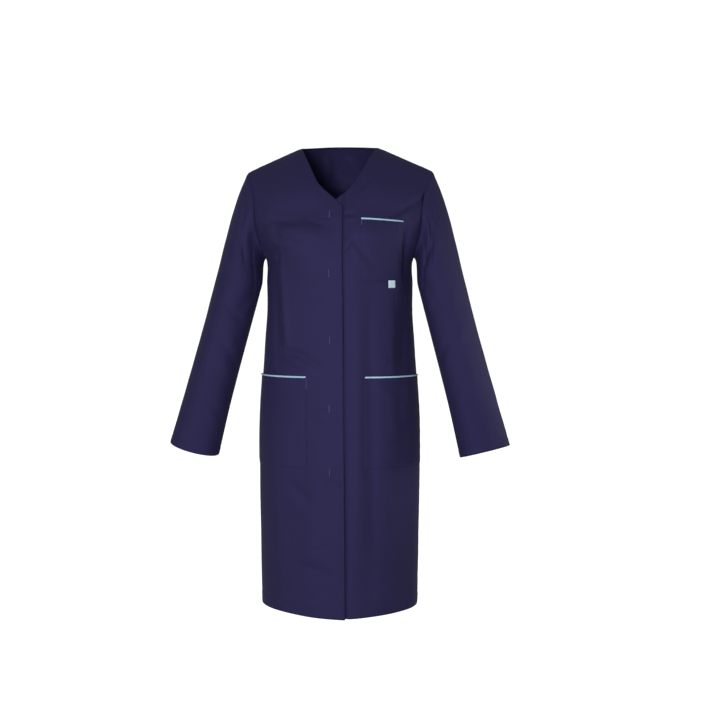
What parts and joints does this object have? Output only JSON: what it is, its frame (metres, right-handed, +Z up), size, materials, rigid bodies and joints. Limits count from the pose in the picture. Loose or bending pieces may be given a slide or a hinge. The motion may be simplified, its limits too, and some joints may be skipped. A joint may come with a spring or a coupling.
{
  "type": "work coat worn on the shoulders",
  "caption": "Knee-length collarless V-neck work coat with long set-in sleeves, hidden front closing, patch pockets and pale piping, hollow as worn.",
  "frame": {"origin": "midpoint between the two side-neck points, at the top of the shoulder seams, where the wearer's shoulders carry the coat", "axes": "+Z up, the front faces -Y, the wearer's right is -X"},
  "size_m": [0.7196, 0.2465, 0.9865],
  "materials": {
    "navy_cloth": "fine twill of cotton and polyester, softly matt",
    "sky_trim": "folded satin-weave piping",
    "pale_tab": "plain woven tab"
  },
  "bodies": {
    "root": {"front_right": "navy_cloth", "front_left": "navy_cloth", "back": "navy_cloth", "sleeve_right": "navy_cloth", "sleeve_left": "navy_cloth", "chest_pocket": "navy_cloth", "hip_pocket_right": "navy_cloth", "hip_pocket_left": "navy_cloth", "chest_piping": "sky_trim", "hip_piping_right": "sky_trim", "hip_piping_left": "sky_trim", "pocket_tab": "pale_tab"}
  },
  "joints": []
}
